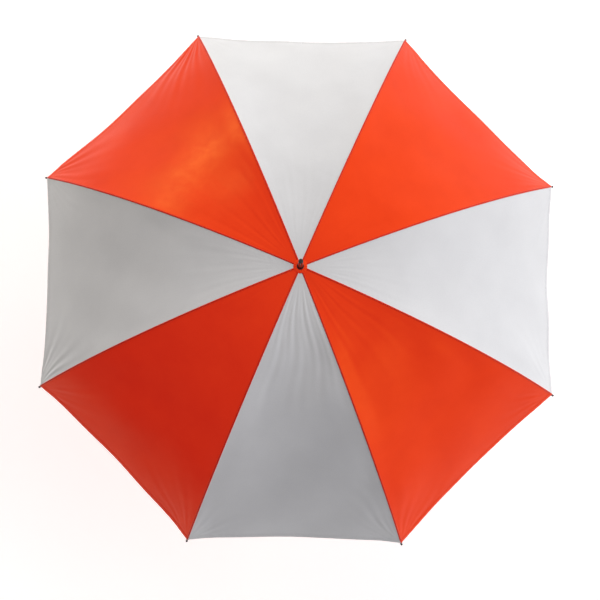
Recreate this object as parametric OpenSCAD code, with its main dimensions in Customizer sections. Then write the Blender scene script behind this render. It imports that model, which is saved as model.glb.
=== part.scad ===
// Golf umbrella with eight ribs, open, standing on the Z axis with the grip end at the origin.

/* [Canopy and ribs] */
// open radius of the canopy, shaft axis to rib end
canopy_r = 650; // [560:5:720]
// height of the rib hinges above the grip end
notch_z = 960; // [900:5:1020]
// radius from the shaft axis to the stretcher joint
joint_r = 340; // [280:5:380]
// slope of a rib below level at its stretcher joint, in degrees
slope_1 = 22; // [18:0.1:26]
// slope of a rib below level at its end, in degrees
slope_2 = 51.5; // [46:0.1:56]
// thickness of the cloth
cloth_t = 0.6; // [0.4:0.1:1.2]
// how far the hem bows in between two ribs
hem_bow = 14; // [4:1:30]
// width of the rib channel
rib_w = 4; // [3:0.1:5]
// depth of the rib channel
rib_d = 3.6; // [3:0.1:5]

/* [Shaft and grip] */
// diameter of the wooden shaft
shaft_d = 14; // [12:0.5:16]
// diameter of the grip
grip_d = 32; // [26:1:38]
// length of the straight part of the grip
grip_l = 140; // [100:5:180]
// height of the metal tube that finishes the top
ferrule_h = 72; // [40:1:90]
// diameter of that tube
ferrule_d = 11; // [9:0.5:13]

/* [Runner] */
// length of the runner sleeve under its crown
sleeve_l = 62; // [45:1:80]
// radius of the circle the rib and stretcher hinges sit on
hinge_r = 11; // [10:0.5:13]

/* [Hidden] */
$fn = 64;

// ribs stand at 22.5 degrees from X and every 45 degrees on
function rib_az(k) = 22.5 + 45 * (k - 1);

shaft_r = shaft_d / 2;
radii = [hinge_r, joint_r, canopy_r];
slopes = [0, slope_1, slope_2];

// a span is one arc that turns evenly from its first slope to its last; [bend radius, drop]
function bend(r0, r1, s0, s1) = (r1 - r0) / (sin(s1) - sin(s0));
function drop(r0, r1, s0, s1) = bend(r0, r1, s0, s1) * (cos(s0) - cos(s1));
function rib_z(i) = i == 0 ? notch_z : rib_z(i - 1)
    - drop(radii[i - 1], radii[i], slopes[i - 1], slopes[i]);

// the same spans seen along the middle of a gore, where the cloth is a little steeper
mid = cos(22.5);
mid_slopes = [for (s = slopes) atan(tan(s) / mid)];
mid_radii = [for (r = radii) r * mid];
function mid_z(i) = i == 0 ? notch_z : mid_z(i - 1)
    - drop(mid_radii[i - 1], mid_radii[i], mid_slopes[i - 1], mid_slopes[i]);

// cloth lies this far above the rib centre line, so it clears the channel at the creases
cloth_gap = rib_d / 2 + 2.2;

// length of a stretcher and the drop of the runner hinges
joint_z = rib_z(1);
arm_l = sqrt(pow(joint_r - hinge_r, 2) + pow(notch_z - joint_z, 2));
arm_angle = atan2(joint_r - hinge_r, notch_z - joint_z);
runner_z = notch_z - 2 * arm_l * cos(arm_angle);
sleeve_z = runner_z - 5 - sleeve_l;
closed_angle = 2.6;
closed_z = notch_z - 2 * arm_l * cos(closed_angle) - 5 - sleeve_l;
pin_r = 0.6;

module at_rib(k) {
    rotate([0, 0, rib_az(k)]) children();
}

// stands a flat drawing up in the plane of a rib, X outward and Y up
module upright(t) {
    rotate([90, 0, 0]) translate([0, 0, -t / 2]) linear_extrude(t) children();
}

module channel(w, d, wall) {
    difference() {
        translate([-d / 2, -w / 2]) square([d, w]);
        translate([-d / 2 - 1, -w / 2 + wall]) square([d + 1 - wall, w - 2 * wall]);
    }
}

// sweeps a drawing along span i of a rib, from slope s0 to slope s1
module rib_arc(i, s0, s1) {
    b = bend(radii[i - 1], radii[i], slopes[i - 1], slopes[i]);
    cx = radii[i - 1] - b * sin(slopes[i - 1]);
    cz = rib_z(i - 1) - b * cos(slopes[i - 1]);
    translate([cx, 0, cz]) rotate([90, 0, 0]) rotate([0, 0, 90 - s1])
        rotate_extrude(angle = s1 - s0, $fn = 720) translate([b, 0]) children();
}

module rib_inner(k) {
    b = bend(radii[0], radii[1], slopes[0], slopes[1]);
    heel = 6 / b * 180 / PI;
    toe = 7 / b * 180 / PI;
    color("dimgray") at_rib(k) {
        difference() {
            union() {
                rib_arc(1, heel, slope_1 - toe) channel(rib_w, rib_d, 0.7);
                // flat tongue that turns on the wire of the top notch
                rib_arc(1, 0, heel + 0.2) square([3, 1.2], center = true);
                translate([hinge_r, 0, notch_z]) upright(1.2) circle(r = 1.9);
                // flat tongue that turns on the rivet of the stretcher joint
                rib_arc(1, slope_1 - 1.4 * toe, slope_1) square([3, 1.2], center = true);
                translate([joint_r, 0, joint_z]) upright(1.2) circle(r = 2.2);
            }
            translate([hinge_r, 0, notch_z]) upright(5) circle(r = pin_r + 0.08);
            translate([joint_r, 0, joint_z]) upright(5) circle(r = 0.88);
        }
    }
}

module rib_outer(k) {
    b = bend(radii[1], radii[2], slopes[1], slopes[2]);
    heel = 5 / b * 180 / PI;
    color("dimgray") at_rib(k) {
        difference() {
            union() {
                rib_arc(2, slope_1 + heel, slope_2) channel(rib_w, rib_d, 0.7);
                // two cheeks that hold the inner rib's tongue
                for (side = [-1, 1]) {
                    rib_arc(2, slope_1, slope_1 + heel + 0.2)
                        translate([0, side * (rib_w / 2 - 0.35)]) square([3.2, 0.7], center = true);
                    translate([joint_r, side * (rib_w / 2 - 0.35), joint_z]) upright(0.7) circle(r = 2.2);
                }
            }
            translate([joint_r, 0, joint_z]) upright(9) circle(r = 0.88);
        }
    }
}

// turned metal end that the corner of two gores is sewn to
module rib_tip(k) {
    color("dimgray") at_rib(k) translate([canopy_r, 0, rib_z(2)]) rotate([0, 90 + slope_2, 0]) {
        difference() {
            union() {
                translate([0, 0, -16]) cylinder(r = 3.1, h = 18);
                translate([0, 0, 2]) cylinder(r1 = 3.1, r2 = 2.4, h = 1.6);
                translate([0, 0, 3.6]) cylinder(r = 2, h = 4);
                translate([0, 0, 8.6]) sphere(r = 2.7);
            }
            // slot for the rib end, deep enough for the rib's curve
            translate([0, 0, -17]) linear_extrude(17) square([rib_d + 0.5, rib_w + 0.1], center = true);
        }
    }
}

module stretcher(k) {
    color("gray") at_rib(k) {
        translate([hinge_r, 0, runner_z]) rotate([0, -(90 - arm_angle), 0]) {
            difference() {
                union() {
                    translate([5.5, 0, 0]) rotate([0, 90, 0]) linear_extrude(arm_l - 15.5)
                        rotate([0, 0, 180]) channel(5.6, 4, 0.6);
                    // tongue on the runner wire
                    upright(1.2) circle(r = 1.9);
                    translate([0, -0.6, -1.5]) cube([6.6, 1.2, 3]);
                    translate([5, -2.5, -1.5]) cube([1.6, 5, 3]);
                    // cheeks outside the rib
                    for (side = [-1, 1]) {
                        translate([arm_l, side * 2.5, 0]) upright(0.6) circle(r = 2.4);
                        translate([arm_l - 11, side * 2.5 - 0.3, -1.6]) cube([11, 0.6, 3.2]);
                    }
                }
                upright(5) circle(r = pin_r + 0.08);
                translate([arm_l, 0, 0]) upright(9) circle(r = 0.8);
            }
            // rivet through the cheeks and both ribs
            translate([arm_l, 0, 0]) rotate([90, 0, 0]) {
                translate([0, 0, -3.7]) cylinder(r = 0.8, h = 7.4);
                for (side = [-1, 1]) translate([0, 0, side * 3.3 - 0.45]) cylinder(r = 1.6, h = 0.9);
            }
        }
    }
}

// band under the cloth drawing, swept from one slope to the next in the middle plane of a gore
module cloth_band(i) {
    b = bend(mid_radii[i - 1], mid_radii[i], mid_slopes[i - 1], mid_slopes[i]);
    cx = mid_radii[i - 1] - b * sin(mid_slopes[i - 1]);
    cz = mid_z(i - 1) - b * cos(mid_slopes[i - 1]);
    intersection() {
        translate([cx, cz]) difference() {
            circle(r = b + cloth_gap + cloth_t, $fn = 720);
            circle(r = b + cloth_gap, $fn = 720);
        }
        // a fan from the centre of the bend that keeps this span only
        translate([cx, cz]) polygon([[0, 0],
            2 * b * [sin(mid_slopes[i - 1]), cos(mid_slopes[i - 1])],
            2 * b * [sin(mid_slopes[i]), cos(mid_slopes[i])]]);
    }
}

module gore(k, tint) {
    outer = canopy_r * mid;
    half = canopy_r * sin(22.5);
    far = outer + cloth_gap;
    bow_r = (half * half + hem_bow * hem_bow) / (2 * hem_bow);
    color(tint) rotate([0, 0, rib_az(k) + 22.5]) intersection() {
        rotate([90, 0, 0]) translate([0, 0, -half - 4]) linear_extrude(2 * half + 8)
            union() {
                cloth_band(1);
                cloth_band(2);
            }
        translate([0, 0, notch_z - 400]) linear_extrude(500) difference() {
            polygon([[0.3, 0], [far, (far - 0.3) * tan(22.5)], [far, -(far - 0.3) * tan(22.5)]]);
            circle(r = shaft_r + 0.3);
            translate([outer - hem_bow + bow_r - 6, 0]) circle(r = bow_r, $fn = 720);
        }
    }
}

module shaft() {
    color("burlywood") difference() {
        union() {
            translate([0, 0, 60]) cylinder(r = shaft_r, h = notch_z + 4 - 60);
            translate([0, 0, notch_z + 4]) cylinder(r = 4.5, h = 50);
        }
        translate([0, 0, sleeve_z - 0.8]) catch_slot();
        translate([0, 0, closed_z + 12.6]) mirror([0, 0, 1]) catch_slot();
        translate([0, 0, stop_z()]) rotate([0, 90, 0]) cylinder(r = 1.25, h = 40, center = true);
    }
}

function stop_z() = runner_z + 3 + 2.2;

// slot and pin hole for a catch whose nose ends at height zero
module catch_slot() {
    translate([-4.2, -1.3, -45]) cube([20, 2.6, 47]);
    translate([2.6, 0, -40]) rotate([90, 0, 0]) cylinder(r = 0.85, h = 40, center = true);
}

// bent spring wire, nose out, with an eye on its pin
module catch() {
    difference() {
        union() {
            upright(1.8)
                polygon([[0.6, -40], [4.6, -40], [7, -16], [10.8, -4], [10.8, 0], [6, 0], [1.5, -5]]);
            translate([2.6, 0, -40]) upright(1.8) circle(r = 2);
        }
        upright(4)
            polygon([[3, -35.5], [3.4, -36], [5.2, -16], [8.9, -4.2], [8.9, -1.8], [6.6, -1.8], [3.2, -5.6]]);
        translate([2.6, 0, -40]) upright(4) circle(r = 0.85);
    }
}

// turn of a catch on its pin that takes its nose inside the runner's bore
catch_press = 6;

// the catch as the runner holds it while it passes
module pressed_catch() {
    translate([2.6, 0, -40]) rotate([0, -catch_press, 0]) translate([-2.6, 0, 40]) catch();
}

module catch_pin_at() {
    translate([2.6, 0, -40]) rotate([90, 0, 0]) cylinder(r = 0.8, h = 11.4, center = true);
}

module top_catch() {
    color("silver") translate([0, 0, sleeve_z - 0.8]) pressed_catch();
}

module top_catch_pin() {
    color("silver") translate([0, 0, sleeve_z - 0.8]) catch_pin_at();
}

module bottom_catch() {
    color("silver") translate([0, 0, closed_z + 12.6]) mirror([0, 0, 1]) pressed_catch();
}

module bottom_catch_pin() {
    color("silver") translate([0, 0, closed_z + 12.6]) mirror([0, 0, 1]) catch_pin_at();
}

module stop_pin() {
    color("silver") translate([0, 0, stop_z()]) rotate([0, 90, 0]) cylinder(r = 1.2, h = 19.6, center = true);
}

module handle() {
    color("saddlebrown") difference() {
        rotate_extrude() polygon([[0, 0], [grip_d / 2, 0], [grip_d / 2, grip_l], [15.7, grip_l + 5],
            [15, grip_l + 10], [14.2, grip_l + 11], [14.2, grip_l + 13], [14.7, grip_l + 14],
            [13.9, grip_l + 20], [12.9, grip_l + 26], [12, grip_l + 32], [11.4, grip_l + 37],
            [11, grip_l + 42], [0, grip_l + 42]]);
        translate([0, 0, 58]) cylinder(r = shaft_r + 0.05, h = 200);
        translate([0, 0, -1]) cylinder(r = 9.05, h = 4);
        translate([0, 0, -1]) cylinder(r = 5.05, h = 25);
    }
}

module handle_collar() {
    color("silver") difference() {
        union() {
            translate([0, 0, grip_l + 42.1]) cylinder(r = 11.4, h = 3);
            translate([0, 0, grip_l + 45.1]) cylinder(r = 10.2, h = 10);
            translate([0, 0, grip_l + 55.1]) cylinder(r1 = 10.2, r2 = 8.6, h = 4);
        }
        translate([0, 0, grip_l + 40]) cylinder(r = shaft_r + 0.05, h = 40);
    }
}

module handle_end_cap() {
    color("silver") {
        cylinder(r = 9, h = 2.9);
        translate([0, 0, 2]) cylinder(r = 5, h = 21);
    }
}

module ferrule() {
    base = notch_z + cloth_gap + cloth_t + 1.6;
    color("dimgray") difference() {
        union() {
            translate([0, 0, base]) cylinder(r = 8, h = 1.4);
            translate([0, 0, base + 1.4]) cylinder(r1 = 7, r2 = ferrule_d / 2, h = 4);
            translate([0, 0, base + 5.4]) cylinder(r = ferrule_d / 2, h = ferrule_h - 5.4);
        }
        translate([0, 0, base - 1]) cylinder(r = 4.55, h = ferrule_h + 3);
    }
}

module ferrule_tip() {
    top = notch_z + cloth_gap + cloth_t + 1.6 + ferrule_h;
    color("dimgray") {
        translate([0, 0, top - 10]) cylinder(r = 4.5, h = 10.1);
        translate([0, 0, top + 0.1]) cylinder(r = ferrule_d / 2 - 0.2, h = 1.8);
        translate([0, 0, top + 1.9]) cylinder(r1 = ferrule_d / 2 - 0.2, r2 = 3.4, h = 2.2);
    }
}

module crown_cap() {
    low = notch_z + cloth_gap + cloth_t + 0.1;
    color("orangered") difference() {
        translate([0, 0, low]) union() {
            cylinder(r = 15.5, h = 0.7);
            translate([0, 0, 0.7]) cylinder(r1 = 15.5, r2 = 9, h = 0.7);
        }
        translate([0, 0, low - 1]) cylinder(r = shaft_r + 0.3, h = 4);
    }
}

// slotted ring; its slots hold the tongues and its wire runs round through them
module slotted_crown(low, high) {
    difference() {
        translate([0, 0, low]) cylinder(r = 14.2, h = high - low);
        translate([0, 0, low - 1]) cylinder(r = shaft_r + 0.05, h = high - low + 2);
        for (k = [1:8]) at_rib(k) translate([8.6, -1, low - 1]) cube([10, 2, high - low + 2]);
        rotate_extrude() translate([hinge_r, 0]) circle(r = pin_r + 0.05, $fn = 32);
    }
}

module top_notch() {
    color("silver") translate([0, 0, notch_z]) slotted_crown(-3, 3.8);
}

module ring_wire() {
    rotate_extrude() translate([hinge_r, 0]) circle(r = pin_r, $fn = 32);
}

module notch_wire() {
    color("silver") translate([0, 0, notch_z]) ring_wire();
}

module runner() {
    color("silver") difference() {
        union() {
            translate([0, 0, runner_z]) slotted_crown(-4, 3);
            translate([0, 0, sleeve_z]) cylinder(r = 9.2, h = sleeve_l + 1);
            translate([0, 0, sleeve_z]) cylinder(r = 10.4, h = 5);
            translate([0, 0, runner_z - 8]) cylinder(r1 = 9.2, r2 = 13, h = 4);
        }
        translate([0, 0, sleeve_z - 1]) cylinder(r = shaft_r + 0.35, h = sleeve_l + 20);
        // window that the lower catch springs into
        translate([0, -2, sleeve_z + 12]) cube([20, 4, 20]);
    }
}

module runner_wire() {
    color("silver") translate([0, 0, runner_z]) ring_wire();
}

// the closing strap lies along the inside of one gore beside a rib, folded up from its hem
strap_k = 5;
strap_in = 5;
strap_out = 23;
strap_fall = 0.3;

module at_outer_bend() {
    b = bend(radii[1], radii[2], slopes[1], slopes[2]);
    at_rib(strap_k) translate([radii[1] - b * sin(slopes[1]), 0, rib_z(1) - b * cos(slopes[1])]) children();
}

module tie_strap() {
    b = bend(radii[1], radii[2], slopes[1], slopes[2]);
    top = b + cloth_gap - 1.9;
    color("orangered") at_outer_bend() rotate([90, 0, 0]) rotate([0, 0, 90 - slope_2 + 2.5])
        rotate_extrude(angle = 12, $fn = 720) polygon([
            [top - strap_fall * strap_in, -strap_in], [top - strap_fall * strap_out, -strap_out],
            [top - 1.3 - strap_fall * strap_out, -strap_out],
            [top - 1.3 - strap_fall * strap_in, -strap_in]]);
}

module strap_button() {
    b = bend(radii[1], radii[2], slopes[1], slopes[2]);
    place = (strap_in + strap_out) / 2;
    color("silver") at_outer_bend() rotate([0, slope_2 - 13.6, 0])
        translate([0, place, b + cloth_gap - 3.3 - strap_fall * place])
            rotate([180 - atan(strap_fall), 0, 0]) {
                cylinder(r = 5.5, h = 1.2);
                translate([0, 0, 1.2]) cylinder(r = 3.4, h = 0.9);
            }
}

module gore_1() { gore(1, "orangered"); }
module gore_2() { gore(2, "white"); }
module gore_3() { gore(3, "orangered"); }
module gore_4() { gore(4, "white"); }
module gore_5() { gore(5, "orangered"); }
module gore_6() { gore(6, "white"); }
module gore_7() { gore(7, "orangered"); }
module gore_8() { gore(8, "white"); }
module rib_inner_1() { rib_inner(1); }
module rib_inner_2() { rib_inner(2); }
module rib_inner_3() { rib_inner(3); }
module rib_inner_4() { rib_inner(4); }
module rib_inner_5() { rib_inner(5); }
module rib_inner_6() { rib_inner(6); }
module rib_inner_7() { rib_inner(7); }
module rib_inner_8() { rib_inner(8); }

module rib_outer_1() { rib_outer(1); }
module rib_outer_2() { rib_outer(2); }
module rib_outer_3() { rib_outer(3); }
module rib_outer_4() { rib_outer(4); }
module rib_outer_5() { rib_outer(5); }
module rib_outer_6() { rib_outer(6); }
module rib_outer_7() { rib_outer(7); }
module rib_outer_8() { rib_outer(8); }

module rib_tip_1() { rib_tip(1); }
module rib_tip_2() { rib_tip(2); }
module rib_tip_3() { rib_tip(3); }
module rib_tip_4() { rib_tip(4); }
module rib_tip_5() { rib_tip(5); }
module rib_tip_6() { rib_tip(6); }
module rib_tip_7() { rib_tip(7); }
module rib_tip_8() { rib_tip(8); }

module stretcher_1() { stretcher(1); }
module stretcher_2() { stretcher(2); }
module stretcher_3() { stretcher(3); }
module stretcher_4() { stretcher(4); }
module stretcher_5() { stretcher(5); }
module stretcher_6() { stretcher(6); }
module stretcher_7() { stretcher(7); }
module stretcher_8() { stretcher(8); }

shaft();
handle();
handle_collar();
handle_end_cap();
ferrule();
ferrule_tip();
crown_cap();
top_notch();
notch_wire();
stop_pin();
top_catch();
top_catch_pin();
bottom_catch();
bottom_catch_pin();
runner();
runner_wire();
tie_strap();
strap_button();
gore_1();
gore_2();
gore_3();
gore_4();
gore_5();
gore_6();
gore_7();
gore_8();
rib_inner_1();
rib_inner_2();
rib_inner_3();
rib_inner_4();
rib_inner_5();
rib_inner_6();
rib_inner_7();
rib_inner_8();
rib_outer_1();
rib_outer_2();
rib_outer_3();
rib_outer_4();
rib_outer_5();
rib_outer_6();
rib_outer_7();
rib_outer_8();
rib_tip_1();
rib_tip_2();
rib_tip_3();
rib_tip_4();
rib_tip_5();
rib_tip_6();
rib_tip_7();
rib_tip_8();
stretcher_1();
stretcher_2();
stretcher_3();
stretcher_4();
stretcher_5();
stretcher_6();
stretcher_7();
stretcher_8();
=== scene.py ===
"""A golf umbrella seen from above: cloth, sewing, finishes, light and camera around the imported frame."""
import math

import bmesh
import bpy
import numpy as np
from mathutils import Matrix, Vector


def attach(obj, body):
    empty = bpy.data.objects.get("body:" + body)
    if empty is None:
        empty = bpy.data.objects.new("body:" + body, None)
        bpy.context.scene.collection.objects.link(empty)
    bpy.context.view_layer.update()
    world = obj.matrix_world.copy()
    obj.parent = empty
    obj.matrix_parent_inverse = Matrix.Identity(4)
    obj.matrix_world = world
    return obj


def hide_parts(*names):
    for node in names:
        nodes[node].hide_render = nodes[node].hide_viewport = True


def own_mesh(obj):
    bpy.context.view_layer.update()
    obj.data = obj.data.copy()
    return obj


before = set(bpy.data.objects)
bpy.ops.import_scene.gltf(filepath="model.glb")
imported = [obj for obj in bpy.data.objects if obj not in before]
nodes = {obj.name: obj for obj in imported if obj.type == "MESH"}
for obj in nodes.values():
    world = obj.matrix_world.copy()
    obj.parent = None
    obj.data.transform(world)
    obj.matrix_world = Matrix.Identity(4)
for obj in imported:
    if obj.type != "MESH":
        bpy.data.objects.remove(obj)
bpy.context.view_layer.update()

# ---------------------------------------------------------------- sizes, in metres, as in the frame
HINGE_R, JOINT_R, RIM_R = 0.011, 0.340, 0.650
NOTCH_Z = 0.960
SLOPE_1, SLOPE_2 = math.radians(22.0), math.radians(51.5)
BEND_1 = (JOINT_R - HINGE_R) / math.sin(SLOPE_1)
BEND_2 = (RIM_R - JOINT_R) / (math.sin(SLOPE_2) - math.sin(SLOPE_1))
JOINT_Z = NOTCH_Z - BEND_1 * (1 - math.cos(SLOPE_1))
HALF = math.radians(22.5)
LIFT = 0.0043          # cloth above the rib's centre line
CLOTH = 0.0005         # cloth thickness
HUB_R = 0.0080         # hole for the shaft
HEM_BOW = 0.0060       # how far the hem bows in, measured in plan
HEM_END = 0.0010       # hem short of the rib end at its corners
HEM_W = 0.0065         # width of the turned hem
N_ACROSS, N_INNER, N_OUTER = 60, 90, 120   # grid steps over half a gore


def smooth(a, b, x):
    t = np.clip((x - a) / (b - a), 0, 1)
    return t * t * (3 - 2 * t)


def slope_at(r):
    r = np.asarray(r, float)
    inner = np.arcsin(np.clip((r - HINGE_R) / BEND_1, 0, 1))
    outer = np.arcsin(np.clip(math.sin(SLOPE_1) + (r - JOINT_R) / BEND_2, 0, 1))
    return np.where(r < HINGE_R, 0, np.where(r < JOINT_R, inner, outer))


def height_at(r):
    s = slope_at(r)
    inner = NOTCH_Z - BEND_1 * (1 - np.cos(s))
    outer = JOINT_Z - BEND_2 * (math.cos(SLOPE_1) - np.cos(s))
    return np.where(np.asarray(r) < JOINT_R, inner, outer)


def length_at(r):
    """Length along a rib from its hinge."""
    s = slope_at(r)
    return np.where(np.asarray(r) < JOINT_R, BEND_1 * s, BEND_1 * SLOPE_1 + BEND_2 * (s - SLOPE_1))


def crease(r, lift=LIFT):
    """Distance from the shaft and height of the cloth over a rib."""
    s = slope_at(r)
    return r + lift * np.sin(s), height_at(r) + lift * np.cos(s)


def rib_azimuth(k):
    return math.radians(22.5 + 45 * (k - 1))


# ---------------------------------------------------------------- a small repeatable noise
class Ripple:
    """A sum of plane waves with fixed random directions, about one unit high."""

    def __init__(self, seed, scale, n=14):
        rng = np.random.default_rng(seed)
        a = rng.uniform(0, 2 * np.pi, n)
        k = rng.uniform(0.6, 1.6, n) * 2 * np.pi / scale
        self.k = np.stack([k * np.cos(a), k * np.sin(a)], 1)
        self.p = rng.uniform(0, 2 * np.pi, n)
        self.a = rng.uniform(0.5, 1, n)
        self.a /= np.sqrt((self.a ** 2).sum() / 2)

    def __call__(self, x, y):
        total = 0
        for (kx, ky), p, a in zip(self.k, self.p, self.a):
            total = total + a * np.cos(kx * x + ky * y + p)
        return total


# how strongly each gore's corners are creased: (corner at rib k, corner at rib k + 1)
CORNER = {1: (0.6, 0.6), 2: (0.4, 0.5), 3: (3.0, 1.6), 4: (0.7, 1.9),
          5: (0.7, 0.7), 6: (0.6, 1.9), 7: (0.8, 0.8), 8: (0.6, 0.8)}
# how strong the long folds below the crown are on each gore
STREAK = {1: 0.4, 2: 0.25, 3: 0.6, 4: 0.3, 5: 0.5, 6: 1.1, 7: 0.6, 8: 0.3}


# heights of the cloth's shapes, in metres
SAG = 0.0105           # the middle of a gore lies this far inside the straight line between its ribs
BILLOW = 0.0009        # broad unevenness
FAN = 0.00042          # creases at the corners
STREAK_H = 0.00022     # long folds below the crown
SEAM_PUCKER = 0.00010
HEM_PUCKER = 0.00013
SEAM_EDGE = 0.00075    # raised edges that meet in a seam
SEAM_EDGE_W = 0.0016   # and how far they reach from its middle


def displacement(k, r, across, width, along):
    """How far the cloth stands off the straight ruled surface, outward positive."""
    ta, tb = across * width, (1 - across) * width
    end = float(length_at(RIM_R))
    x, y = (across - 0.5) * width, along
    sag = -SAG * smooth(0.02, 0.42, r) * (1 - 0.5 * smooth(0.45, 0.65, r)) * 4 * across * (1 - across)
    big = BILLOW * Ripple(100 + k, 0.21)(x, y) * smooth(0, 0.05, np.minimum(ta, tb)) * smooth(0.05, 0.3, r)
    total = sag + big
    # creases that fan out from the two lower corners
    for j, (t, strength) in enumerate(((ta, CORNER[k][0]), (tb, CORNER[k][1]))):
        back = end - along + 0.004
        rho = np.hypot(t, back)
        phi = np.arctan2(t, np.maximum(back, 1e-5))
        seed = 7 * k + 3 * j
        warp = 0.12 * Ripple(300 + seed, 0.25)(x, y)
        n1, n2 = 27.0 + 2.5 * math.sin(seed), 16.0 + 2 * math.cos(seed)
        wave = 0.55 * np.cos(n1 * phi + seed + 2 * warp * 6) + 0.6 * np.cos(n2 * phi + 2.1 * seed + warp * 9)
        reach = smooth(0.012, 0.07, rho) * np.exp(-(rho / 0.15) ** 2)
        edge = smooth(0.0, 0.16, phi)
        total = total + FAN * strength * wave * reach * edge
    # long faint folds that run down from the crown
    ang = across - 0.5
    wave = np.cos(2 * np.pi * (5.5 * ang + 0.2 * k) + 1.2 * Ripple(500 + k, 0.3)(x, y)) \
        + 0.6 * np.cos(2 * np.pi * (9.3 * ang + 0.37 * k) + Ripple(520 + k, 0.25)(x, y))
    reach = smooth(0.03, 0.12, r) * (1 - smooth(0.2, 0.42, r)) \
        * smooth(0, 0.12, across) * smooth(0, 0.12, 1 - across)
    total = total + STREAK_H * STREAK[k] * wave * reach
    # short puckers drawn in by the stitches of both seams and of the hem
    for j, t in enumerate((ta, tb)):
        pitch = 0.0135 + 0.001 * math.sin(k + j)
        wave = np.cos(2 * np.pi * (along + 0.35 * t) / pitch + 1.5 * Ripple(700 + 2 * k + j, 0.09)(x, y))
        total = total + SEAM_PUCKER * wave * np.exp(-t / 0.012) * smooth(0.001, 0.004, t)
    rim = np.maximum(hem_radius(across) - r, 0)
    wave = np.cos(2 * np.pi * x / 0.019 + 1.4 * Ripple(900 + k, 0.1)(x, y))
    total = total + HEM_PUCKER * wave * np.exp(-rim / 0.016) * smooth(0.0, 0.03, np.minimum(ta, tb))
    # the two raised edges that meet in the seam
    for t in (ta, tb):
        total = total + SEAM_EDGE * np.exp(-(t / SEAM_EDGE_W) ** 4)
    return total


def hem_radius(across):
    """Rib-line radius at which the hem is cut."""
    bow = HEM_BOW * 4 * across * (1 - across)
    return RIM_R - HEM_END - bow / math.cos(HALF)


def cut_radius(across):
    """Where the cloth crosses the plane through the stretcher joint, square to the nearer rib."""
    u = np.minimum(across, 1 - across)
    t = np.array([math.cos(SLOPE_1), -math.sin(SLOPE_1)])
    lo, hi = np.full(u.shape, JOINT_R - 0.02), np.full(u.shape, JOINT_R + 0.12)
    for _ in range(40):
        m = (lo + hi) / 2
        rc, zc = crease(m)
        step = 2 * rc * math.sin(HALF) * u
        radial = rc - step * math.sin(HALF)
        f = (radial - JOINT_R) * t[0] + (zc - JOINT_Z) * t[1]
        lo, hi = np.where(f < 0, m, lo), np.where(f < 0, hi, m)
    return (lo + hi) / 2


def across_steps(n):
    """Steps across half a gore, close together at the seam."""
    x = np.linspace(0, 1, n + 1)
    return 0.5 * (x * 0.18 + x ** 2.2 * 0.82)


def gore_point(k, r, across):
    """Top of gore k, r out on its ribs and that share of the way across, its normal and its flat place."""
    rc, zc = crease(r)
    a0, a1 = rib_azimuth(k), rib_azimuth(k + 1)
    p0 = np.stack([rc * math.cos(a0), rc * math.sin(a0), zc], -1)
    p1 = np.stack([rc * math.cos(a1), rc * math.sin(a1), zc], -1)
    width = 2 * rc * math.sin(HALF)
    mid = (a0 + a1) / 2
    s = np.arctan(np.tan(slope_at(r)) / math.cos(HALF))
    normal = np.stack([np.sin(s) * math.cos(mid), np.sin(s) * math.sin(mid), np.cos(s)], -1)
    along = length_at(r)
    d = displacement(k, r, across, width, along)
    pts = p0 + (p1 - p0) * across[..., None] + normal * d[..., None]
    return pts, normal, np.stack([(across - 0.5) * width, along], -1)


def gore_grid(k):
    """The grid of gore k, in the form that gore_point gives."""
    u = across_steps(N_ACROSS)
    u = np.concatenate([u, 1 - u[-2::-1]])
    cut, hem = cut_radius(u), hem_radius(u)
    a = np.linspace(0, 1, N_INNER + 1)[:, None]
    b = np.linspace(0, 1, N_OUTER + 1)[1:, None]
    a = a * 0.6 + a ** 1.7 * 0.4
    b = b * 0.7 + (1 - (1 - b) ** 1.8) * 0.3
    r = np.concatenate([HUB_R + (cut - HUB_R) * a, cut + (hem - cut) * b])
    return gore_point(k, r, np.broadcast_to(u, r.shape))


def grid_normals(p):
    du, dv = np.gradient(p, axis=1), np.gradient(p, axis=0)
    n = np.cross(dv, du)
    n /= np.maximum(np.linalg.norm(n, axis=-1, keepdims=True), 1e-12)
    return np.where(n[..., 2:] < 0, -n, n)


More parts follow.
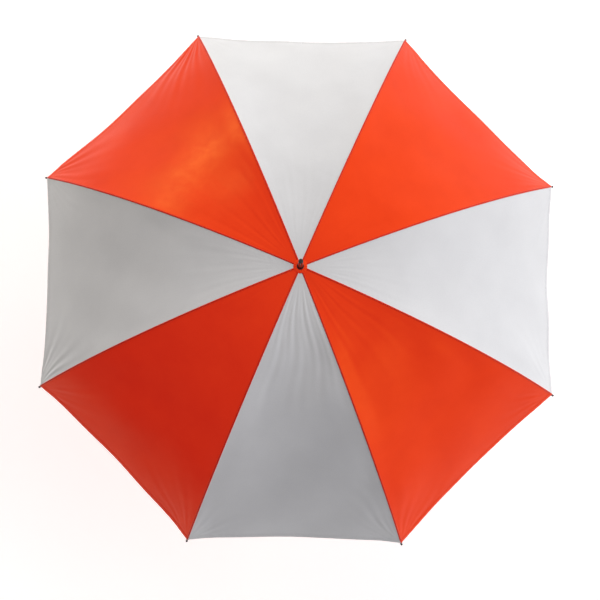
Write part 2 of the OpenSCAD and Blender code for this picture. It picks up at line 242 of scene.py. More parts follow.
def shell(name, top, low, normals, uv, material):
    """A closed thin shell between two grids, shaded with the normals of the whole gore."""
    a, b = top.shape[:2]
    idx = np.arange(a * b).reshape(a, b)
    q = np.stack([idx[1:, :-1], idx[1:, 1:], idx[:-1, 1:], idx[:-1, :-1]], -1).reshape(-1, 4)
    lowq = q[:, ::-1] + a * b
    ring = np.concatenate([idx[0, :-1], idx[:-1, -1], idx[-1, :0:-1], idx[:0:-1, 0]])
    nxt = np.roll(ring, -1)
    rim = np.stack([ring, nxt, nxt + a * b, ring + a * b], -1)
    faces = np.concatenate([q, lowq, rim])
    verts = np.concatenate([top.reshape(-1, 3), low.reshape(-1, 3)])
    me = bpy.data.meshes.new(name)
    me.vertices.add(len(verts))
    me.vertices.foreach_set("co", verts.astype(np.float32).ravel())
    me.loops.add(faces.size)
    me.loops.foreach_set("vertex_index", faces.astype(np.int32).ravel())
    me.polygons.add(len(faces))
    me.polygons.foreach_set("loop_start", np.arange(0, faces.size, 4, dtype=np.int32))
    me.polygons.foreach_set("loop_total", np.full(len(faces), 4, np.int32))
    me.update()
    me.validate()
    both = np.concatenate([uv.reshape(-1, 2)] * 2)
    layer = me.uv_layers.new(name="cloth")
    layer.data.foreach_set("uv", both[faces.ravel()].astype(np.float32).ravel())
    me.polygons.foreach_set("use_smooth", np.ones(len(faces), bool))
    vn = np.concatenate([normals.reshape(-1, 3), -normals.reshape(-1, 3)])
    ln = vn[faces]
    e = verts[rim]
    rn = np.cross(e[:, 1] - e[:, 0], e[:, 3] - e[:, 0])
    rn /= np.maximum(np.linalg.norm(rn, axis=1, keepdims=True), 1e-12)
    ln[len(q) * 2:] = rn[:, None]
    me.normals_split_custom_set(ln.reshape(-1, 3).tolist())
    me.materials.append(material)
    o = bpy.data.objects.new(name, me)
    bpy.context.collection.objects.link(o)
    return o


# ---------------------------------------------------------------- materials
def new_material(name):
    m = bpy.data.materials.new(name)
    m.use_nodes = True
    nt = m.node_tree
    bsdf = nt.nodes["Principled BSDF"]
    return m, nt, bsdf


def node(nt, kind, **values):
    n = nt.nodes.new(kind)
    for key, v in values.items():
        if key in n.inputs:
            n.inputs[key].default_value = v
        else:
            setattr(n, key, v)
    return n


def ramp(nt, source, stops):
    n = nt.nodes.new("ShaderNodeValToRGB")
    el = n.color_ramp.elements
    while len(el) < len(stops):
        el.new(0.5)
    for e, (pos, col) in zip(el, stops):
        e.position = pos
        e.color = (*col, 1) if len(col) == 3 else col
    nt.links.new(source, n.inputs["Fac"])
    return n


def mixed(nt, a, b, factor=None, kind="MIX", amount=0.5):
    n = nt.nodes.new("ShaderNodeMix")
    n.data_type = "RGBA"
    n.blend_type = kind
    n.inputs[0].default_value = amount
    if factor is not None:
        nt.links.new(factor, n.inputs[0])
    for socket, v in ((n.inputs[6], a), (n.inputs[7], b)):
        if isinstance(v, tuple):
            socket.default_value = (*v, 1)
        else:
            nt.links.new(v, socket)
    return n.outputs[2]


def math_node(nt, op, a, b=None):
    n = nt.nodes.new("ShaderNodeMath")
    n.operation = op
    for i, v in enumerate((a, b)):
        if v is None:
            continue
        if isinstance(v, (int, float)):
            n.inputs[i].default_value = v
        else:
            nt.links.new(v, n.inputs[i])
    return n.outputs[0]


def satin(name, base, deep, bright, rough, sheen, glint, ior, painted_glow=(0, 0, 0)):
    """Close satin weave: threads across and along the gore, a soft sheen, faint handling marks, and an
    optional painted glow from emission.
    """
    m, nt, b = new_material(name)
    uv = node(nt, "ShaderNodeUVMap", uv_map="cloth")
    cloud = node(nt, "ShaderNodeTexNoise", Scale=9.0, Detail=4.0, Roughness=0.55)
    nt.links.new(uv.outputs[0], cloud.inputs["Vector"])
    fine = node(nt, "ShaderNodeTexNoise", Scale=420.0, Detail=3.0, Roughness=0.6)
    nt.links.new(uv.outputs[0], fine.inputs["Vector"])
    tone = ramp(nt, cloud.outputs["Fac"], [(0.3, deep), (0.55, base), (0.8, bright)])
    speck = ramp(nt, fine.outputs["Fac"], [(0.3, (0.93, 0.93, 0.93)), (0.7, (1, 1, 1))])
    colour = mixed(nt, tone.outputs[0], speck.outputs[0], kind="MULTIPLY", amount=0.8)
    warp = node(nt, "ShaderNodeTexWave", Scale=620.0, Distortion=0.6, Detail=1.0)
    warp.bands_direction = "X"
    weft = node(nt, "ShaderNodeTexWave", Scale=480.0, Distortion=0.8, Detail=1.0)
    weft.bands_direction = "Y"
    for w in (warp, weft):
        nt.links.new(uv.outputs[0], w.inputs["Vector"])
    half_weft = math_node(nt, "MULTIPLY", weft.outputs["Fac"], 0.5)
    weave = math_node(nt, "MULTIPLY", warp.outputs["Fac"], math_node(nt, "ADD", half_weft, 0.5))
    crush = node(nt, "ShaderNodeTexNoise", Scale=38.0, Detail=5.0, Roughness=0.6, Distortion=0.6)
    nt.links.new(uv.outputs[0], crush.inputs["Vector"])
    bump1 = node(nt, "ShaderNodeBump", Strength=0.10, Distance=0.00012)
    nt.links.new(weave, bump1.inputs["Height"])
    bump2 = node(nt, "ShaderNodeBump", Strength=0.12, Distance=0.0012)
    nt.links.new(crush.outputs["Fac"], bump2.inputs["Height"])
    nt.links.new(bump1.outputs[0], bump2.inputs["Normal"])
    r = ramp(nt, crush.outputs["Fac"], [(0.25, (rough - 0.05,) * 3), (0.75, (rough + 0.06,) * 3)])
    nt.links.new(colour, b.inputs["Base Color"])
    nt.links.new(r.outputs[0], b.inputs["Roughness"])
    nt.links.new(bump2.outputs[0], b.inputs["Normal"])
    b.inputs["Sheen Weight"].default_value = sheen
    b.inputs["Sheen Roughness"].default_value = 0.35
    b.inputs["Sheen Tint"].default_value = (*glint, 1)
    b.inputs["Specular Tint"].default_value = (*glint, 1)
    b.inputs["IOR"].default_value = ior
    b.inputs["Emission Color"].default_value = (*painted_glow, 1)   # painted glow: emission that lifts the cloth's red where it is in shade, though the cloth is no lamp
    b.inputs["Emission Strength"].default_value = 1 if any(painted_glow) else 0
    return m


# the orange cloth glows: a painted glow that lifts its red where it is in shade
ORANGE = satin(
    "orange_satin", (0.58, 0.036, 0.005), (0.54, 0.030, 0.004), (0.61, 0.043, 0.006),
    0.33, 0.0, (1, 0.50, 0.02), 1.40, painted_glow=(0.30, 0.008, 0.006))
# seam cloth: a darker, redder orange than the gores, painted as the shadow along the seam, plus a faint
# painted glow
SEAM_PAINTED_SHADE = satin(
    "orange_seam_painted_shade", (0.66, 0.018, 0.012), (0.60, 0.014, 0.010), (0.70, 0.022, 0.013),
    0.45, 0.02, (1, 0.3, 0.02), 1.6, painted_glow=(0.05, 0.0, 0.0))
WHITE = satin(
    "white_satin", (0.70, 0.698, 0.715), (0.675, 0.672, 0.69), (0.725, 0.722, 0.738),
    0.38, 0.03, (1, 1, 1), 1.45)


def thread(name, colour):
    m, nt, b = new_material(name)
    co = node(nt, "ShaderNodeTexCoord")
    tw = node(nt, "ShaderNodeTexWave", Scale=900.0, Distortion=1.5, Detail=2.0)
    tw.bands_direction = "DIAGONAL"
    nt.links.new(co.outputs["Object"], tw.inputs["Vector"])
    fuzz = node(nt, "ShaderNodeTexNoise", Scale=1500.0, Detail=3.0)
    nt.links.new(co.outputs["Object"], fuzz.inputs["Vector"])
    dark = tuple(c * 0.72 for c in colour)
    c = ramp(nt, tw.outputs["Fac"], [(0.2, dark), (0.7, colour)])
    nt.links.new(c.outputs[0], b.inputs["Base Color"])
    r = ramp(nt, fuzz.outputs["Fac"], [(0.3, (0.5,) * 3), (0.7, (0.7,) * 3)])
    nt.links.new(r.outputs[0], b.inputs["Roughness"])
    bump = node(nt, "ShaderNodeBump", Strength=0.4, Distance=0.0001)
    nt.links.new(tw.outputs["Fac"], bump.inputs["Height"])
    nt.links.new(bump.outputs[0], b.inputs["Normal"])
    b.inputs["Sheen Weight"].default_value = 0.2
    return m


ORANGE_THREAD = thread("orange_thread", (0.72, 0.10, 0.025))
WHITE_THREAD = thread("white_thread", (0.66, 0.655, 0.66))


def metal(name, light, dark, rough, metallic=1.0, brushed=0.0, coat=0.0, wear=None):
    m, nt, b = new_material(name)
    co = node(nt, "ShaderNodeTexCoord")
    marks = node(nt, "ShaderNodeTexNoise", Scale=60.0, Detail=6.0, Roughness=0.65)
    nt.links.new(co.outputs["Object"], marks.inputs["Vector"])
    stretch = node(nt, "ShaderNodeMapping")
    stretch.inputs["Scale"].default_value = (900.0, 900.0, 900.0 - 860.0 * brushed)
    nt.links.new(co.outputs["Object"], stretch.inputs["Vector"])
    lines = node(nt, "ShaderNodeTexNoise", Scale=1.0, Detail=3.0, Roughness=0.7)
    nt.links.new(stretch.outputs[0], lines.inputs["Vector"])
    tone = ramp(nt, marks.outputs["Fac"], [(0.3, dark), (0.62, light)])
    colour = tone.outputs[0]
    if wear:
        spots = ramp(nt, lines.outputs["Fac"], [(0.66, (0, 0, 0)), (0.74, (1, 1, 1))])
        colour = mixed(nt, colour, wear, factor=spots.outputs[0])
    nt.links.new(colour, b.inputs["Base Color"])
    r = ramp(nt, marks.outputs["Fac"], [(0.25, (rough * 0.75,) * 3), (0.75, (min(1, rough * 1.35),) * 3)])
    nt.links.new(r.outputs[0], b.inputs["Roughness"])
    bump = node(nt, "ShaderNodeBump", Strength=0.18, Distance=0.00006)
    nt.links.new(lines.outputs["Fac"], bump.inputs["Height"])
    nt.links.new(bump.outputs[0], b.inputs["Normal"])
    b.inputs["Metallic"].default_value = metallic
    b.inputs["Coat Weight"].default_value = coat
    b.inputs["Coat Roughness"].default_value = 0.12
    return m


NICKEL = metal("polished_nickel", (0.60, 0.585, 0.56), (0.50, 0.485, 0.46), 0.17)
WIRE = metal("drawn_wire", (0.50, 0.50, 0.50), (0.36, 0.36, 0.37), 0.30, brushed=1.0)
DARK = metal("dark_plated_steel", (0.075, 0.070, 0.070), (0.045, 0.042, 0.043), 0.24)
LACQUER = metal("black_lacquer", (0.030, 0.030, 0.033), (0.020, 0.020, 0.022), 0.30,
                metallic=0.0, coat=0.6, wear=(0.25, 0.24, 0.23))


def wood(name, light, dark, pore, rings, rough, coat):
    """Varnished wood with the grain along the shaft."""
    m, nt, b = new_material(name)
    co = node(nt, "ShaderNodeTexCoord")
    mp = node(nt, "ShaderNodeMapping")
    mp.inputs["Scale"].default_value = (rings, rings, rings * 0.035)
    nt.links.new(co.outputs["Object"], mp.inputs["Vector"])
    wave = node(nt, "ShaderNodeTexWave", Scale=0.5, Distortion=5.5, Detail=4.0)
    wave.wave_type = "BANDS"
    nt.links.new(mp.outputs[0], wave.inputs["Vector"])
    broad = node(nt, "ShaderNodeTexNoise", Scale=0.9, Detail=6.0, Roughness=0.6, Distortion=0.5)
    nt.links.new(mp.outputs[0], broad.inputs["Vector"])
    fp = node(nt, "ShaderNodeMapping")
    fp.inputs["Scale"].default_value = (1500.0, 1500.0, 55.0)
    nt.links.new(co.outputs["Object"], fp.inputs["Vector"])
    pores = node(nt, "ShaderNodeTexNoise", Scale=1.0, Detail=2.0, Roughness=0.5)
    nt.links.new(fp.outputs[0], pores.inputs["Vector"])
    g = mixed(nt, wave.outputs["Color"], broad.outputs["Color"], amount=0.6)
    tone = ramp(nt, g, [(0.28, dark), (0.72, light)])
    fleck = ramp(nt, pores.outputs["Fac"], [(0.36, (0, 0, 0)), (0.46, (1, 1, 1))])
    colour = mixed(nt, pore, tone.outputs[0], factor=fleck.outputs[0])
    nt.links.new(colour, b.inputs["Base Color"])
    r = ramp(nt, broad.outputs["Fac"], [(0.3, (rough * 0.85,) * 3), (0.7, (rough * 1.2,) * 3)])
    nt.links.new(r.outputs[0], b.inputs["Roughness"])
    bump = node(nt, "ShaderNodeBump", Strength=0.25, Distance=0.0001)
    nt.links.new(pores.outputs["Fac"], bump.inputs["Height"])
    nt.links.new(bump.outputs[0], b.inputs["Normal"])
    b.inputs["Coat Weight"].default_value = coat
    b.inputs["Coat Roughness"].default_value = 0.14
    return m


BEECH = wood("varnished_beech", (0.60, 0.36, 0.17), (0.43, 0.23, 0.095), (0.30, 0.15, 0.06), 95.0, 0.36, 0.45)
GRIP = wood("dark_varnished_wood", (0.20, 0.075, 0.030), (0.085, 0.030, 0.014), (0.04, 0.014, 0.008),
            70.0, 0.32, 0.7)

FINISH = {
    "shaft": BEECH, "handle": GRIP, "handle_collar": NICKEL, "handle_end_cap": NICKEL,
    "ferrule": DARK, "ferrule_tip": DARK, "top_notch": NICKEL, "runner": NICKEL,
    "strap_button": NICKEL, "notch_wire": WIRE, "runner_wire": WIRE, "stop_pin": WIRE,
    "top_catch": WIRE, "bottom_catch": WIRE, "top_catch_pin": WIRE, "bottom_catch_pin": WIRE}
for i in range(1, 9):
    FINISH[f"rib_inner_{i}"] = FINISH[f"rib_outer_{i}"] = FINISH[f"stretcher_{i}"] = LACQUER
    FINISH[f"rib_tip_{i}"] = DARK
for name, material in FINISH.items():
    nodes[name].data.materials.clear()
    nodes[name].data.materials.append(material)


# ---------------------------------------------------------------- helpers for sewn pieces
class Soup:
    """Gathers many small closed solids into one mesh."""

    def __init__(self):
        self.v, self.f, self.n = [], [], 0

    def add(self, verts, faces):
        verts = np.asarray(verts, float)
        self.v.append(verts)
        self.f += [tuple(int(i) + self.n for i in face) for face in faces]
        self.n += len(verts)

    def dash(self, a, b, up, r, flat=0.6):
        """One stitch from a to b: a short thread that dives into the cloth at both ends."""
        a, b, up = (np.asarray(x, float) for x in (a, b, up))
        d = b - a
        length = np.linalg.norm(d)
        if length < 1e-7:
            return
        d /= length
        side = np.cross(d, up)
        side /= np.linalg.norm(side)
        up = np.cross(side, d)
        verts, faces = [a - up * r * 0.5], []
        stations = ((0.08, 0.65), (0.3, 1.0), (0.7, 1.0), (0.92, 0.65))
        for t, w in stations:
            c = a + d * length * t + up * r * 0.25 * math.sin(math.pi * t)
            for j in range(6):
                ang = 2 * math.pi * j / 6
                verts.append(c + (side * math.cos(ang) + up * math.sin(ang) * flat) * r * w)
        verts.append(b - up * r * 0.5)
        for j in range(6):
            k = (j + 1) % 6
            faces.append((0, 1 + k, 1 + j))
            for s in range(3):
                p = 1 + 6 * s
                faces.append((p + j, p + k, p + 6 + k, p + 6 + j))
            faces.append((25, 19 + j, 19 + k))
        self.add(verts, faces)

    def tube(self, pts, r, sides=8, closed=False):
        """A round tube along points, with flat ends."""
        pts = np.asarray(pts, float)
        n = len(pts)
        nxt, prv = np.roll(pts, -1, 0), np.roll(pts, 1, 0)
        t = nxt - prv
        if not closed:
            t[0], t[-1] = pts[1] - pts[0], pts[-1] - pts[-2]
        t /= np.linalg.norm(t, axis=1, keepdims=True)
        ref = np.array([0, 0, 1.0]) if abs(t[:, 2]).max() < 0.9 else np.array([0.3, 0.9, 0.1])
        side = np.cross(t, ref)
        side /= np.maximum(np.linalg.norm(side, axis=1, keepdims=True), 1e-9)
        up = np.cross(side, t)
        ang = np.arange(sides) * 2 * math.pi / sides
        cos, sin = np.cos(ang)[None, :, None], np.sin(ang)[None, :, None]
        ring = pts[:, None] + r * (side[:, None] * cos + up[:, None] * sin)
        faces = []
        last = n if closed else n - 1
        for i in range(last):
            k = (i + 1) % n
            for j in range(sides):
                m = (j + 1) % sides
                faces.append((i * sides + j, i * sides + m, k * sides + m, k * sides + j))
        if not closed:
            faces.append(tuple(range(sides))[::-1])
            faces.append(tuple((n - 1) * sides + j for j in range(sides)))
        self.add(ring.reshape(-1, 3), faces)

    def object(self, name, material):
        me = bpy.data.meshes.new(name)
        me.from_pydata([tuple(p) for p in np.concatenate(self.v)], [], self.f)
        me.update()
        me.polygons.foreach_set("use_smooth", np.ones(len(me.polygons), bool))
        me.materials.append(material)
        fix_normals(me)
        o = bpy.data.objects.new(name, me)
        bpy.context.collection.objects.link(o)
        return o


def fix_normals(me):
    """Turns every face of a closed mesh outward."""
    bm = bmesh.new()
    bm.from_mesh(me)
    bmesh.ops.recalc_face_normals(bm, faces=bm.faces)
    bm.to_mesh(me)
    bm.free()


def gather(o):
    """Gives the piece a mesh of its own."""
    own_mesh(o)


def wrap(k):
    return (k - 1) % 8 + 1


def on_rib(o, k, outer):
    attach(o, f"rib_end_{k}" if outer else f"rib_{k}")


# ---------------------------------------------------------------- canopy cloth
CLOTH_OF = {0: WHITE, 1: ORANGE}
THREAD_OF = {0: WHITE_THREAD, 1: ORANGE_THREAD}
panels = {}     # (gore, side, outer): its cloth, its flat size and its flat area
sewn = {}       # (gore, side): the hem and its stitches


def half_gore(k, side, outer, top, low, normals, uv):
    """One quarter of a gore's cloth: the half beside one rib, above or below the rib's joint."""
    rows = slice(N_INNER, None) if outer else slice(0, N_INNER + 1)
    cols = slice(0, N_ACROSS + 1) if side > 0 else slice(N_ACROSS, None)
    rib = k if side > 0 else wrap(k + 1)
    name = f"cloth_{k}_{'near' if side > 0 else 'far'}_{'outer' if outer else 'inner'}"
    o = shell(name, *(g[rows, cols] for g in (top, low, normals, uv)), CLOTH_OF[k % 2])
    on_rib(o, rib, outer)
    gather(o)
    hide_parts(f"gore_{k}")
    p = top[rows, cols]
    along = float(uv[rows, cols][..., 1].max() - uv[rows, cols][..., 1].min())
    wide = float(np.ptp(uv[rows, cols][..., 0]))
    e0, e1 = p[1:, :-1] - p[:-1, :-1], p[:-1, 1:] - p[:-1, :-1]
    area = float(np.linalg.norm(np.cross(e0, e1), axis=-1).sum())
    panels[(k, side, outer)] = (o, (wide, along), area)


for k in range(1, 9):
    top, normal, uv = gore_grid(k)
    n = grid_normals(top)
    low = top - n * CLOTH
    for side in (1, -1):
        for outer in (False, True):
            half_gore(k, side, outer, top, low, n, uv)


# ---------------------------------------------------------------- hems
HEM_SECTION = [(1.0, -0.02), (0.93, 0.22), (0.5, 0.26), (0.12, 0.28), (0.02, 0.05), (-0.02, -0.45),
               (0.02, -0.95), (0.12, -1.2), (0.5, -1.22), (0.93, -1.1), (1.0, -0.8)]


def hem_place(k, u, inward, lift):
    """A point on gore k's hem: u across, inward from its edge and lift above the cloth, in metres."""
    u = np.asarray(u, float)
    r = hem_radius(u) - inward
    p, normal, uv = gore_point(k, r, u)
    return p + normal * lift, normal, uv


def hem_ends(side):
    return (0.0032, 0.5) if side > 0 else (0.5, 1 - 0.0032)


def hem_band(k, side):
    """The hem turned under twice, as one closed band along half a gore."""
    lo, hi = hem_ends(side)
    n = 120
    u = np.linspace(lo, hi, n + 1)
    rings = [hem_place(k, u, s * HEM_W, h * 0.001)[0] for s, h in HEM_SECTION]
    uvs = [hem_place(k, u, s * HEM_W, 0)[2] for s, h in HEM_SECTION]
    m = len(rings)
    verts = np.stack(rings, 1).reshape(-1, 3)
    flat = np.stack(uvs, 1).reshape(-1, 2)
    faces = [(i * m + j, i * m + (j + 1) % m, (i + 1) * m + (j + 1) % m, (i + 1) * m + j)
             for i in range(n) for j in range(m)]
    faces += [tuple(range(m)), tuple(n * m + j for j in reversed(range(m)))]
    me = bpy.data.meshes.new("hem")
    me.from_pydata([tuple(v) for v in verts], [], faces)
    layer = me.uv_layers.new(name="cloth")
    loops = np.zeros(len(me.loops), np.int32)
    me.loops.foreach_get("vertex_index", loops)
    layer.data.foreach_set("uv", flat[loops].astype(np.float32).ravel())
    me.polygons.foreach_set("use_smooth", np.ones(len(me.polygons), bool))
    me.materials.append(CLOTH_OF[k % 2])
    fix_normals(me)
    o = bpy.data.objects.new(f"hem_{k}_{'near' if side > 0 else 'far'}", me)
    bpy.context.collection.objects.link(o)
    return o


def hem_stitches(k, side, pitch=0.0032):
    lo, hi = hem_ends(side)
    width = 2 * RIM_R * math.sin(HALF)
    count = int((hi - lo) * width / pitch)
    u = np.linspace(lo + 0.004, hi, count * 4 + 1)
    p, normal, _ = hem_place(k, u, 0.0050, 0.00032)
    soup = Soup()
    for i in range(count):
        soup.dash(p[4 * i], p[4 * i + 3], normal[4 * i], 0.00022)
    return soup.object(f"hem_stitches_{k}_{'near' if side > 0 else 'far'}", THREAD_OF[k % 2])


for k in range(1, 9):
    for side in (1, -1):
        rib = k if side > 0 else wrap(k + 1)
        for o in (hem_band(k, side), hem_stitches(k, side)):
            on_rib(o, rib, True)
            gather(o)
            sewn.setdefault((k, side), []).append(o)

for (k, side, outer), (o, flat, area) in panels.items():
    rib = k if side > 0 else wrap(k + 1)


# ---------------------------------------------------------------- seams over the ribs
SEAM_HALF = 0.0021


def seam_frame(k, r, t, lift):
    """A point of the seam over rib k: r out, t across it, lift above the cloth."""
    a = rib_azimuth(k)
    s = slope_at(r)
    x, z = crease(r, LIFT + SEAM_EDGE * np.exp(-(t / SEAM_EDGE_W) ** 4)
                  + lift - abs(t) * math.tan(HALF) * np.sin(s))
    return np.stack([x * math.cos(a) - t * math.sin(a), x * math.sin(a) + t * math.cos(a), z], -1)


def seam_band(k, outer):
    """Felled seam: the narrow doubled edge where two gores are sewn together over a rib."""
    start, end, steps = (JOINT_R, RIM_R - HEM_END - 0.001, 150) if outer else (HUB_R + 0.001, JOINT_R, 130)
    r = np.linspace(start, end, steps)
    section = [(-1, 0.00005), (-0.8, 0.00024), (0, 0.00028), (0.8, 0.00024), (1, 0.00005),
               (0.7, -0.0006), (-0.7, -0.0006)]
    rings = [seam_frame(k, r, q * np.minimum(SEAM_HALF, r * 0.1 + 0.0005), h) for q, h in section]
    n, m = len(r), len(section)
    verts = np.stack(rings, 1).reshape(-1, 3)
    faces = [(i * m + j, i * m + (j + 1) % m, (i + 1) * m + (j + 1) % m, (i + 1) * m + j)
             for i in range(n - 1) for j in range(m)]
    faces += [tuple(range(m)), tuple((n - 1) * m + j for j in reversed(range(m)))]
    me = bpy.data.meshes.new("seam")
    me.from_pydata([tuple(v) for v in verts], [], faces)
    layer = me.uv_layers.new(name="cloth")
    flat = np.stack([np.tile([q * SEAM_HALF for q, h in section], n), np.repeat(length_at(r), m)], 1)
    loops = np.zeros(len(me.loops), np.int32)
    me.loops.foreach_get("vertex_index", loops)
    layer.data.foreach_set("uv", flat[loops].astype(np.float32).ravel())
    me.polygons.foreach_set("use_smooth", np.ones(len(me.polygons), bool))
    # the seam's cloth is painted darker and redder as shadow along the seam
    me.materials.append(SEAM_PAINTED_SHADE)
    fix_normals(me)
    o = bpy.data.objects.new(f"seam_{k}_{'outer' if outer else 'inner'}", me)
    bpy.context.collection.objects.link(o)
    return o


def seam_stitches(k, outer, pitch=0.0034):
    r0, r1 = (JOINT_R, RIM_R - HEM_END - 0.004) if outer else (0.020, JOINT_R)
    count = int(float(length_at(r1) - length_at(r0)) / pitch)
    r = np.linspace(r0, r1, count * 4 + 1)
    a, slope = rib_azimuth(k), slope_at(r)
    up = np.stack([np.sin(slope) * math.cos(a), np.sin(slope) * math.sin(a), np.cos(slope)], -1)
    soup = Soup()
    for t in (-0.0012, 0.0012):
        p = seam_frame(k, r, t, 0.0003)
        for i in range(count):
            soup.dash(p[4 * i], p[4 * i + 3], up[4 * i], 0.00020)
    return soup.object(f"seam_stitches_{k}_{'outer' if outer else 'inner'}", ORANGE_THREAD)


def rib_ties(k, outer):
    """Thread loops that tie the seam down to the rib."""
    soup = Soup()
    a = rib_azimuth(k)
    out, side = np.array([math.cos(a), math.sin(a), 0]), np.array([-math.sin(a), math.cos(a), 0])
    for r in ((0.352, 0.50) if outer else (0.12, 0.23)):
        s = float(slope_at(r))
        x, z = float(r), float(height_at(r))
        up = out * math.sin(s) + np.array([0, 0, math.cos(s)])
        down = out * math.cos(s) - np.array([0, 0, math.sin(s)])
        for turn in range(3):
            ang = np.linspace(0, 2 * math.pi, 28, endpoint=False)
            base = out * x + np.array([0, 0, z]) + down * (turn - 1) * 0.0007
            ring = base + side * (0.00265 * np.cos(ang))[:, None]
            ring = ring + up * (0.0008 + 0.0032 * np.sin(ang))[:, None]
            ring = ring + down * (0.0003 * np.sin(ang))[:, None]
            soup.tube(ring, 0.00032, sides=6, closed=True)
    return soup.object(f"rib_ties_{k}_{'outer' if outer else 'inner'}", ORANGE_THREAD)


for k in range(1, 9):
    for outer in (False, True):
        for o in (seam_band(k, outer), seam_stitches(k, outer), rib_ties(k, outer)):
            on_rib(o, k, outer)


# ---------------------------------------------------------------- crown cap
def crown_cap():
    """Gathered cloth washer over the crown, pinched round the shaft."""
    turns, steps = 160, 9
    ang = np.linspace(0, 2 * math.pi, turns, endpoint=False)[None, :]
    q = np.linspace(0, 1, steps)[:, None]
    r = 0.0074 + 0.0082 * q
    base = NOTCH_Z + LIFT + 0.0009
    pleat = (0.00028 * np.cos(16 * ang) + 0.00012 * np.cos(27 * ang + 1)) * (1 - 0.55 * q)
    z = base + 0.0010 * (1 - q ** 2) + pleat
    r = r + 0.00018 * np.cos(16 * ang + 0.5) * q
    top = np.stack([r * np.cos(ang), r * np.sin(ang), z + 0 * ang], -1)
    low = np.stack([r * np.cos(ang), r * np.sin(ang), np.full(r.shape, base - 0.0006)], -1)
    rings = np.concatenate([top, low[::-1]])
    n = len(rings)
    idx = np.arange(n * turns).reshape(n, turns)
    nx = np.roll(idx, -1, 1)
    faces = [(int(idx[i, j]), int(nx[i, j]), int(nx[(i + 1) % n, j]), int(idx[(i + 1) % n, j]))
             for i in range(n) for j in range(turns)]
    me = bpy.data.meshes.new("crown_cap_cloth")
    me.from_pydata([tuple(v) for v in rings.reshape(-1, 3)], [], faces)
    layer = me.uv_layers.new(name="cloth")
    flat = rings.reshape(-1, 3)[:, :2]
    loops = np.zeros(len(me.loops), np.int32)
    me.loops.foreach_get("vertex_index", loops)
    layer.data.foreach_set("uv", flat[loops].astype(np.float32).ravel())
    me.polygons.foreach_set("use_smooth", np.ones(len(me.polygons), bool))
    me.materials.append(ORANGE)
    fix_normals(me)
    o = bpy.data.objects.new("crown_cap_cloth", me)
    bpy.context.collection.objects.link(o)
    return o


cap = crown_cap()
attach(cap, "shaft")
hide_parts("crown_cap")


# ---------------------------------------------------------------- closing strap
STRAP_RIB, STRAP_IN, STRAP_OUT, STRAP_FALL = 5, 0.005, 0.023, 0.3
STRAP_S0, STRAP_S1 = SLOPE_2 - math.radians(14.5), SLOPE_2 - math.radians(2.5)


def strap_point(s, t, depth):
    """A point of the strap: s is the slope it lies at, t across from rib 5, depth under its upper side."""
    a = rib_azimuth(STRAP_RIB)
    b = BEND_2 + 0.0021 - STRAP_FALL * t - depth
    x = JOINT_R - BEND_2 * math.sin(SLOPE_1) + b * np.sin(s)
    z = JOINT_Z - BEND_2 * math.cos(SLOPE_1) + b * np.cos(s)
    return np.stack([x * math.cos(a) - t * math.sin(a), x * math.sin(a) + t * math.cos(a), z + 0 * t], -1)


def strap_cloth():
    n, m = 110, 14
    s, t = np.meshgrid(np.linspace(STRAP_S0, STRAP_S1, n), np.linspace(STRAP_IN, STRAP_OUT, m), indexing="ij")
    wave = 0.00012 * np.sin(s * 70) + 0.00008 * np.sin(s * 173 + 400 * t)
    edge = 0.00022 * np.exp(-((np.minimum(t - STRAP_IN, STRAP_OUT - t)) / 0.0024) ** 4)
    top = strap_point(s, t, 0.00025 - edge + wave)
    low = strap_point(s, t, 0.00115 + edge + wave)
    uv = np.stack([t, s * BEND_2], -1)
    return shell("tie_strap_cloth", top, low, grid_normals(top), uv, ORANGE)


def strap_stitches():
    soup = Soup()
    count = int((STRAP_S1 - STRAP_S0) * BEND_2 / 0.0032)
    s = np.linspace(STRAP_S0 + 0.002, STRAP_S1 - 0.002, count * 4 + 1)
    a = rib_azimuth(STRAP_RIB)
    for t in (STRAP_IN + 0.0022, STRAP_OUT - 0.0022):
        p = strap_point(s, np.full(s.shape, t), 0.00142)
        for i in range(count):
            at = s[4 * i]
            down = -np.array([math.sin(at) * math.cos(a), math.sin(at) * math.sin(a), math.cos(at)])
            soup.dash(p[4 * i], p[4 * i + 3], down, 0.00022)
    return soup.object("tie_strap_stitches", ORANGE_THREAD)


strap, strap_thread = strap_cloth(), strap_stitches()
for o in (strap, strap_thread):
    on_rib(o, STRAP_RIB, True)
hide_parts("tie_strap")


# ---------------------------------------------------------------- floor, light and camera
def floor():
    m, nt, b = new_material("pale_floor")
    co = node(nt, "ShaderNodeTexCoord")
    n = node(nt, "ShaderNodeTexNoise", Scale=3.0, Detail=3.0)
    nt.links.new(co.outputs["Object"], n.inputs["Vector"])
    c = ramp(nt, n.outputs["Fac"], [(0.3, (0.90, 0.90, 0.90)), (0.7, (0.92, 0.92, 0.92))])
    nt.links.new(c.outputs[0], b.inputs["Base Color"])
    b.inputs["Roughness"].default_value = 0.9
    b.inputs["Specular IOR Level"].default_value = 0.1
    b.inputs["Emission Color"].default_value = (1, 1, 1, 1)
    b.inputs["Emission Strength"].default_value = 0.42
    bpy.ops.mesh.primitive_plane_add(size=60, location=(0, 0, 0))
    o = bpy.context.object
    o.name = "floor"
    o.data.materials.append(m)


floor()


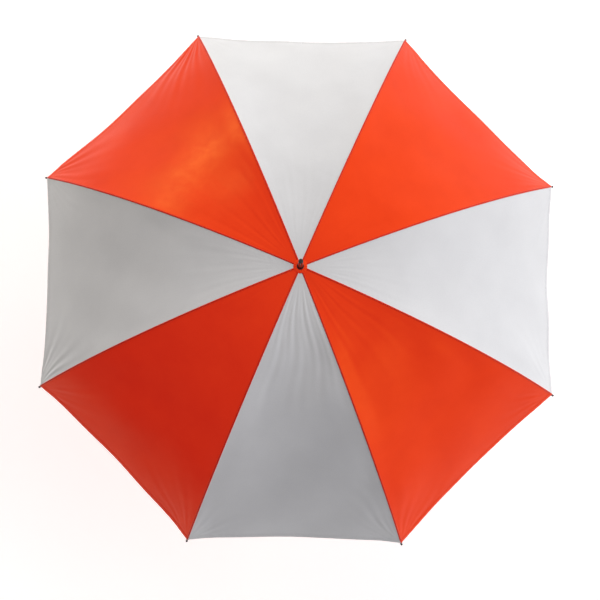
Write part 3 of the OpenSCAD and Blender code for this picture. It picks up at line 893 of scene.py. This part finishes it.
def area_light(name, toward, distance, size, power, colour=(1, 1, 1), aim=(0, 0, 0.8)):
    """A square soft light in that direction from the canopy."""
    d = Vector(toward).normalized()
    data = bpy.data.lights.new(name, "AREA")
    data.shape, data.size, data.energy, data.color = "SQUARE", size, power, colour
    o = bpy.data.objects.new(name, data)
    bpy.context.collection.objects.link(o)
    o.location = Vector(aim) + d * distance
    o.rotation_mode = "QUATERNION"
    o.rotation_quaternion = d.to_track_quat("Z", "Y")
    return o


def studio_world(level, lean, lit_tint, dim_tint):
    """Even soft light from all round that grows stronger along the vector lean."""
    world = bpy.data.worlds.new("studio")
    bpy.context.scene.world = world
    world.use_nodes = True
    nt = world.node_tree
    back = nt.nodes["Background"]
    co = node(nt, "ShaderNodeTexCoord")
    dot = node(nt, "ShaderNodeVectorMath", operation="DOT_PRODUCT")
    nt.links.new(co.outputs["Generated"], dot.inputs[0])
    dot.inputs[1].default_value = lean
    nt.links.new(math_node(nt, "ADD", dot.outputs["Value"], level), back.inputs["Strength"])
    side = math_node(nt, "ADD", math_node(nt, "MULTIPLY", dot.outputs["Value"], 0.75), 0.75)
    nt.links.new(ramp(nt, side, [(0.2, dim_tint), (0.75, lit_tint)]).outputs[0], back.inputs["Color"])


studio_world(0.86, (0.72, 0.74, -0.36), (0.985, 0.995, 1), (0.985, 0.85, 0.93))
area_light("corner_glow", (-0.58, 0.70, 0.42), 4.2, 0.7, 40, colour=(1, 0.90, 0.68))
area_light("side_glow", (0.80, -0.18, 0.60), 4.2, 2.4, 34)
bpy.context.scene.view_settings.view_transform = "Standard"


def camera():
    """Looks steeply down on the crown, a little turned."""
    distance, target = 5.0, Vector((0, 0, 0.66456))
    elev, azim, roll = (math.radians(v) for v in (81.684, -5.421, 6.349))
    back = Vector((math.sin(azim) * math.cos(elev), -math.cos(azim) * math.cos(elev), math.sin(elev)))
    right = Vector((math.cos(azim), math.sin(azim), 0))
    up = back.cross(right)
    right, up = right * math.cos(roll) + up * math.sin(roll), up * math.cos(roll) - right * math.sin(roll)
    data = bpy.data.cameras.new("camera")
    o = bpy.data.objects.new("camera", data)
    bpy.context.collection.objects.link(o)
    o.location = target + back * distance
    o.rotation_mode = "QUATERNION"
    o.rotation_quaternion = Matrix((right, up, back)).transposed().to_quaternion()
    data.sensor_width, data.lens = 36, 126.45
    data.shift_x, data.shift_y = 0.0031, -0.0239
    data.dof.use_dof = False
    data.clip_end = 100
    bpy.context.scene.camera = o


camera()
